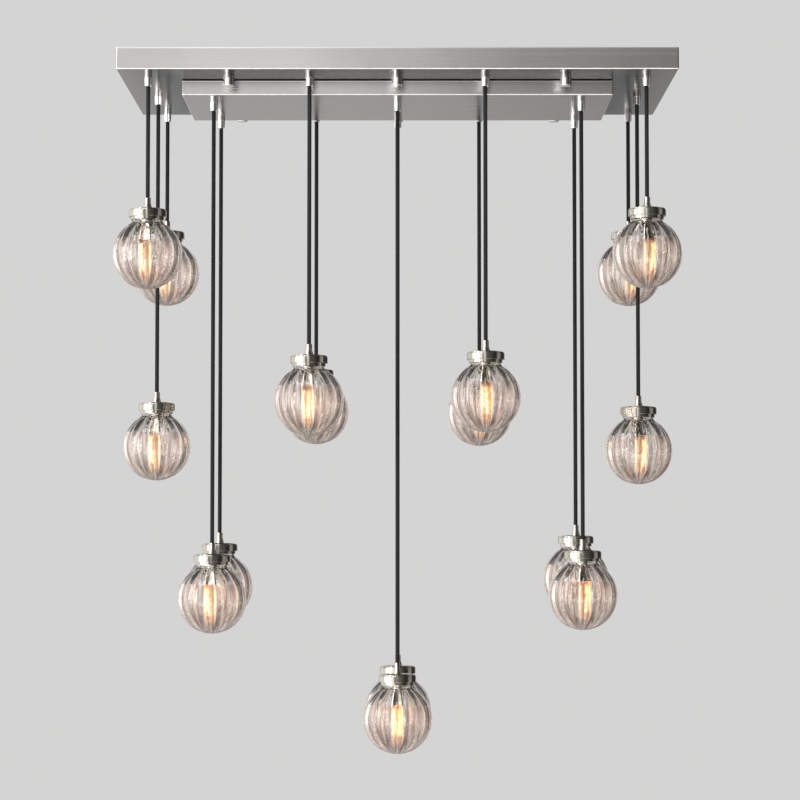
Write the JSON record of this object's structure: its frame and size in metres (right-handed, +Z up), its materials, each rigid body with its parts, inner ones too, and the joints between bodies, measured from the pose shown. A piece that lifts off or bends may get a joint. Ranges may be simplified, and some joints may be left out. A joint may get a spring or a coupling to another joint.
{
  "type": "rectangular chandelier",
  "caption": "Rectangular two-tier metal canopy carrying ribbed clear glass globe lamps on black fabric cords of stepped lengths.",
  "frame": {"origin": "middle of the ceiling plane, the centre of the ceiling screw pattern on the mounting bars", "axes": "+Z up into the ceiling, +X along the canopy's length to the right, +Y across it away from the viewer"},
  "size_m": [0.9308, 0.4796, 1.1504],
  "materials": {
    "brushed_nickel": "horizontally brushed nickel, satin",
    "polished_nickel": "polished nickel",
    "fitting_nickel": "satin nickel, turned",
    "bar_steel": "zinc-plated steel strip",
    "stud_steel": "zinc-plated fasteners",
    "insulation": "black insulation",
    "terminal_plastic": "off-white moulded insulator",
    "cord_fabric": "black braided fabric over a round cable",
    "clear_glass": "clear moulded glass"
  },
  "bodies": {
    "canopy": {"mounting_bars": "bar_steel", "bar_studs": "stud_steel", "thumb_nuts": "polished_nickel", "upper_canopy_floor": "brushed_nickel", "upper_canopy_long_walls": "brushed_nickel", "upper_canopy_end_walls": "brushed_nickel", "lower_canopy": "brushed_nickel", "screws": "stud_steel", "hex_nuts": "stud_steel", "cord_grips": "polished_nickel", "wiring": "insulation", "terminal_blocks": "terminal_plastic"},
    "cord_01": {"cord_01": "cord_fabric"},
    "lamp_01": {"lamp_fitting_01": "fitting_nickel", "glass_01": "clear_glass"},
    "cord_02": {"cord_02": "cord_fabric"},
    "lamp_02": {"lamp_fitting_02": "fitting_nickel", "glass_02": "clear_glass"},
    "cord_03": {"cord_03": "cord_fabric"},
    "lamp_03": {"lamp_fitting_03": "fitting_nickel", "glass_03": "clear_glass"},
    "cord_04": {"cord_04": "cord_fabric"},
    "lamp_04": {"lamp_fitting_04": "fitting_nickel", "glass_04": "clear_glass"},
    "cord_05": {"cord_05": "cord_fabric"},
    "lamp_05": {"lamp_fitting_05": "fitting_nickel", "glass_05": "clear_glass"},
    "cord_06": {"cord_06": "cord_fabric"},
    "lamp_06": {"lamp_fitting_06": "fitting_nickel", "glass_06": "clear_glass"},
    "cord_07": {"cord_07": "cord_fabric"},
    "lamp_07": {"lamp_fitting_07": "fitting_nickel", "glass_07": "clear_glass"},
    "cord_08": {"cord_08": "cord_fabric"},
    "lamp_08": {"lamp_fitting_08": "fitting_nickel", "glass_08": "clear_glass"},
    "cord_09": {"cord_09": "cord_fabric"},
    "lamp_09": {"lamp_fitting_09": "fitting_nickel", "glass_09": "clear_glass"},
    "cord_10": {"cord_10": "cord_fabric"},
    "lamp_10": {"lamp_fitting_10": "fitting_nickel", "glass_10": "clear_glass"},
    "cord_11": {"cord_11": "cord_fabric"},
    "lamp_11": {"lamp_fitting_11": "fitting_nickel", "glass_11": "clear_glass"},
    "cord_12": {"cord_12": "cord_fabric"},
    "lamp_12": {"lamp_fitting_12": "fitting_nickel", "glass_12": "clear_glass"},
    "cord_13": {"cord_13": "cord_fabric"},
    "lamp_13": {"lamp_fitting_13": "fitting_nickel", "glass_13": "clear_glass"},
    "cord_14": {"cord_14": "cord_fabric"},
    "lamp_14": {"lamp_fitting_14": "fitting_nickel", "glass_14": "clear_glass"},
    "cord_15": {"cord_15": "cord_fabric"},
    "lamp_15": {"lamp_fitting_15": "fitting_nickel", "glass_15": "clear_glass"},
    "cord_16": {"cord_16": "cord_fabric"},
    "lamp_16": {"lamp_fitting_16": "fitting_nickel", "glass_16": "clear_glass"}
  },
  "joints": [
    {"name": "swing_01", "type": "hinge", "parent": "canopy", "child": "cord_01", "pos_m": [-0.4082, -0.1826, -0.052], "axis": [0, 1, 0], "range_deg": [-15, 15]},
    {"name": "tilt_01", "type": "hinge", "parent": "cord_01", "child": "lamp_01", "pos_m": [-0.4082, -0.1826, -0.2429], "axis": [1, 0, 0], "range_deg": [-15, 15]},
    {"name": "swing_02", "type": "hinge", "parent": "canopy", "child": "cord_02", "pos_m": [-0.144, -0.1826, -0.052], "axis": [0, 1, 0], "range_deg": [-15, 15]},
    {"name": "tilt_02", "type": "hinge", "parent": "cord_02", "child": "lamp_02", "pos_m": [-0.144, -0.1826, -0.4826], "axis": [1, 0, 0], "range_deg": [-15, 15]},
    {"name": "swing_03", "type": "hinge", "parent": "canopy", "child": "cord_03", "pos_m": [0.144, -0.1826, -0.052], "axis": [0, 1, 0], "range_deg": [-15, 15]},
    {"name": "tilt_03", "type": "hinge", "parent": "cord_03", "child": "lamp_03", "pos_m": [0.144, -0.1826, -0.4765], "axis": [1, 0, 0], "range_deg": [-15, 15]},
    {"name": "swing_04", "type": "hinge", "parent": "canopy", "child": "cord_04", "pos_m": [0.4082, -0.1826, -0.052], "axis": [0, 1, 0], "range_deg": [-15, 15]},
    {"name": "tilt_04", "type": "hinge", "parent": "cord_04", "child": "lamp_04", "pos_m": [0.4082, -0.1826, -0.2415], "axis": [1, 0, 0], "range_deg": [-15, 15]},
    {"name": "swing_05", "type": "hinge", "parent": "canopy", "child": "cord_05", "pos_m": [-0.4082, 0, -0.052], "axis": [0, 1, 0], "range_deg": [-15, 15]},
    {"name": "tilt_05", "type": "hinge", "parent": "cord_05", "child": "lamp_05", "pos_m": [-0.4082, 0, -0.5498], "axis": [1, 0, 0], "range_deg": [-15, 15]},
    {"name": "swing_06", "type": "hinge", "parent": "canopy", "child": "cord_06", "pos_m": [0.4082, 0, -0.052], "axis": [0, 1, 0], "range_deg": [-15, 15]},
    {"name": "tilt_06", "type": "hinge", "parent": "cord_06", "child": "lamp_06", "pos_m": [0.4082, 0, -0.5563], "axis": [1, 0, 0], "range_deg": [-15, 15]},
    {"name": "swing_07", "type": "hinge", "parent": "canopy", "child": "cord_07", "pos_m": [-0.4082, 0.1826, -0.052], "axis": [0, 1, 0], "range_deg": [-15, 15]},
    {"name": "tilt_07", "type": "hinge", "parent": "cord_07", "child": "lamp_07", "pos_m": [-0.4082, 0.1826, -0.236], "axis": [1, 0, 0], "range_deg": [-15, 15]},
    {"name": "swing_08", "type": "hinge", "parent": "canopy", "child": "cord_08", "pos_m": [-0.144, 0.1826, -0.052], "axis": [0, 1, 0], "range_deg": [-15, 15]},
    {"name": "tilt_08", "type": "hinge", "parent": "cord_08", "child": "lamp_08", "pos_m": [-0.144, 0.1826, -0.4808], "axis": [1, 0, 0], "range_deg": [-15, 15]},
    {"name": "swing_09", "type": "hinge", "parent": "canopy", "child": "cord_09", "pos_m": [0.144, 0.1826, -0.052], "axis": [0, 1, 0], "range_deg": [-15, 15]},
    {"name": "tilt_09", "type": "hinge", "parent": "cord_09", "child": "lamp_09", "pos_m": [0.144, 0.1826, -0.4838], "axis": [1, 0, 0], "range_deg": [-15, 15]},
    {"name": "swing_10", "type": "hinge", "parent": "canopy", "child": "cord_10", "pos_m": [0.4082, 0.1826, -0.052], "axis": [0, 1, 0], "range_deg": [-15, 15]},
    {"name": "tilt_10", "type": "hinge", "parent": "cord_10", "child": "lamp_10", "pos_m": [0.4082, 0.1826, -0.2366], "axis": [1, 0, 0], "range_deg": [-15, 15]},
    {"name": "swing_11", "type": "hinge", "parent": "canopy", "child": "cord_11", "pos_m": [-0.307, -0.092, -0.078], "axis": [0, 1, 0], "range_deg": [-15, 15]},
    {"name": "tilt_11", "type": "hinge", "parent": "cord_11", "child": "lamp_11", "pos_m": [-0.307, -0.092, -0.8055], "axis": [1, 0, 0], "range_deg": [-15, 15]},
    {"name": "swing_12", "type": "hinge", "parent": "canopy", "child": "cord_12", "pos_m": [0, -0.092, -0.078], "axis": [0, 1, 0], "range_deg": [-15, 15]},
    {"name": "tilt_12", "type": "hinge", "parent": "cord_12", "child": "lamp_12", "pos_m": [0, -0.092, -1.0032], "axis": [1, 0, 0], "range_deg": [-15, 15]},
    {"name": "swing_13", "type": "hinge", "parent": "canopy", "child": "cord_13", "pos_m": [0.307, -0.092, -0.078], "axis": [0, 1, 0], "range_deg": [-15, 15]},
    {"name": "tilt_13", "type": "hinge", "parent": "cord_13", "child": "lamp_13", "pos_m": [0.307, -0.092, -0.7997], "axis": [1, 0, 0], "range_deg": [-15, 15]},
    {"name": "swing_14", "type": "hinge", "parent": "canopy", "child": "cord_14", "pos_m": [-0.307, 0.092, -0.078], "axis": [0, 1, 0], "range_deg": [-15, 15]},
    {"name": "tilt_14", "type": "hinge", "parent": "cord_14", "child": "lamp_14", "pos_m": [-0.307, 0.092, -0.787], "axis": [1, 0, 0], "range_deg": [-15, 15]},
    {"name": "swing_15", "type": "hinge", "parent": "canopy", "child": "cord_15", "pos_m": [0, 0.092, -0.078], "axis": [0, 1, 0], "range_deg": [-15, 15]},
    {"name": "tilt_15", "type": "hinge", "parent": "cord_15", "child": "lamp_15", "pos_m": [0, 0.092, -0.997], "axis": [1, 0, 0], "range_deg": [-15, 15]},
    {"name": "swing_16", "type": "hinge", "parent": "canopy", "child": "cord_16", "pos_m": [0.307, 0.092, -0.078], "axis": [0, 1, 0], "range_deg": [-15, 15]},
    {"name": "tilt_16", "type": "hinge", "parent": "cord_16", "child": "lamp_16", "pos_m": [0.307, 0.092, -0.774], "axis": [1, 0, 0], "range_deg": [-15, 15]}
  ]
}
